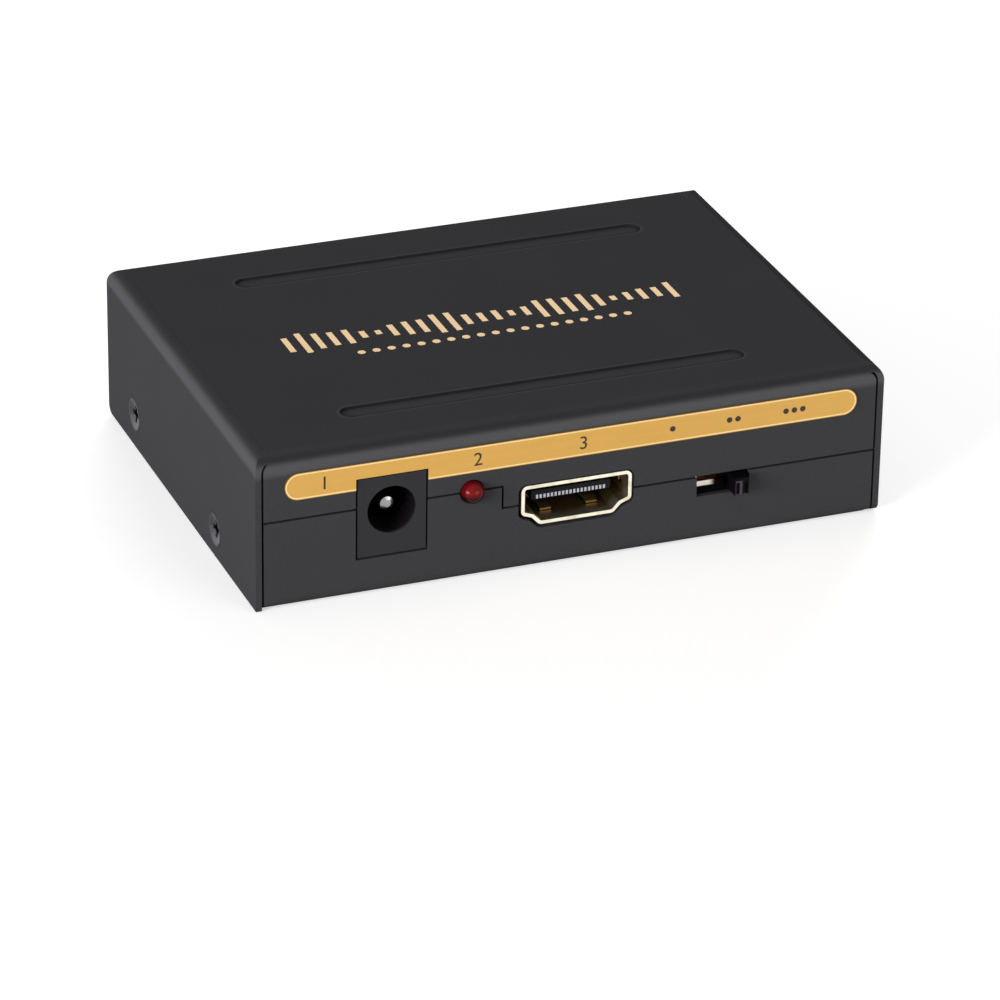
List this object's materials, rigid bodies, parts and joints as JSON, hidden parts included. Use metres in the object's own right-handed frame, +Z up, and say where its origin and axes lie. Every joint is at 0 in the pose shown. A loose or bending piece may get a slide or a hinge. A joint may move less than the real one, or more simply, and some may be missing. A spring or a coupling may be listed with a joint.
{
  "type": "audio extractor",
  "caption": "Small folded-steel box with a video socket on each long side, a power inlet, a slide switch, indicator lights, a shuttered optical port and phono jacks.",
  "frame": {"origin": "centre of the case's footprint, on its underside", "axes": "+X to the right as seen from the input side, +Y from the input side to the output side, +Z up"},
  "size_m": [0.084, 0.0674, 0.021],
  "materials": {
    "case_paint": "matte black powder coat, very fine grain",
    "gold_print": "flat gold print, slightly glossy",
    "screw_steel": "dark plated steel",
    "bright_steel": "bright plated steel",
    "board_laminate": "green solder mask",
    "brass": "turned brass",
    "black_plastic": "moulded black plastic",
    "inlet_plastic": "moulded dark grey-black plastic",
    "port_plastic": "moulded dark grey plastic",
    "shutter_plastic": "moulded grey plastic",
    "shell_plate": "pale gold plated sheet",
    "contact_gold": "gold plated",
    "nickel": "bright nickel",
    "tin": "tinned leads",
    "white_plastic": "glossy white moulding",
    "red_plastic": "glossy red moulding",
    "red_lens": "dark red cast lens, unlit",
    "green_lens": "dark green cast lens, unlit",
    "phenolic": "brown laminate",
    "chip_plastic": "black chip moulding",
    "can_metal": "plain aluminium can",
    "ferrite": "grey ferrite",
    "ceramic": "tan ceramic"
  },
  "bodies": {
    "case": {"top_cover": "case_paint", "bottom_tray": "case_paint", "case_screws": "screw_steel", "input_label": "gold_print", "output_label": "gold_print", "circuit_board": "board_laminate", "board_standoffs": "brass", "board_screws": "bright_steel", "inlet_housing": "inlet_plastic", "inlet_pin": "nickel", "inlet_spring": "nickel", "power_light_lens": "red_lens", "power_light_leads": "tin", "link_light_lens": "green_lens", "link_light_leads": "tin", "video_in_shell": "shell_plate", "video_in_tongue": "black_plastic", "video_in_contacts": "contact_gold", "video_out_shell": "shell_plate", "video_out_tongue": "black_plastic", "video_out_contacts": "contact_gold", "switch_frame": "bright_steel", "switch_base": "black_plastic", "switch_back": "phenolic", "switch_terminals": "tin", "optical_housing": "port_plastic", "shutter_pin": "bright_steel", "light_emitter": "chip_plastic", "emitter_leads": "tin", "phono_block": "black_plastic", "phono_left_shell": "nickel", "phono_left_insulator": "white_plastic", "phono_left_contact": "contact_gold", "phono_right_shell": "nickel", "phono_right_insulator": "red_plastic", "phono_right_contact": "contact_gold", "main_processor": "chip_plastic", "processor_leads": "tin", "audio_converter": "chip_plastic", "converter_leads": "tin", "crystal": "can_metal", "voltage_regulator": "chip_plastic", "power_inductor": "ferrite", "filter_capacitors": "can_metal", "chip_parts": "ceramic"},
    "switch slider": {"switch_knob": "black_plastic", "switch_wiper": "contact_gold"},
    "optical shutter": {"optical_shutter": "shutter_plastic", "shutter_spring": "bright_steel"}
  },
  "joints": [
    {"name": "mode_switch_slide", "type": "slide", "parent": "case", "child": "switch slider", "axis": [1, 0, 0], "range_m": [-0.004, 0]},
    {"name": "shutter_hinge", "type": "hinge", "parent": "case", "child": "optical shutter", "pos_m": [0.00495, 0.0294, 0.01575], "axis": [-1, 0, 0], "range_deg": [0, 85], "stiffness_Nm_per_rad": 0.0001, "springref_deg": -28.65}
  ]
}
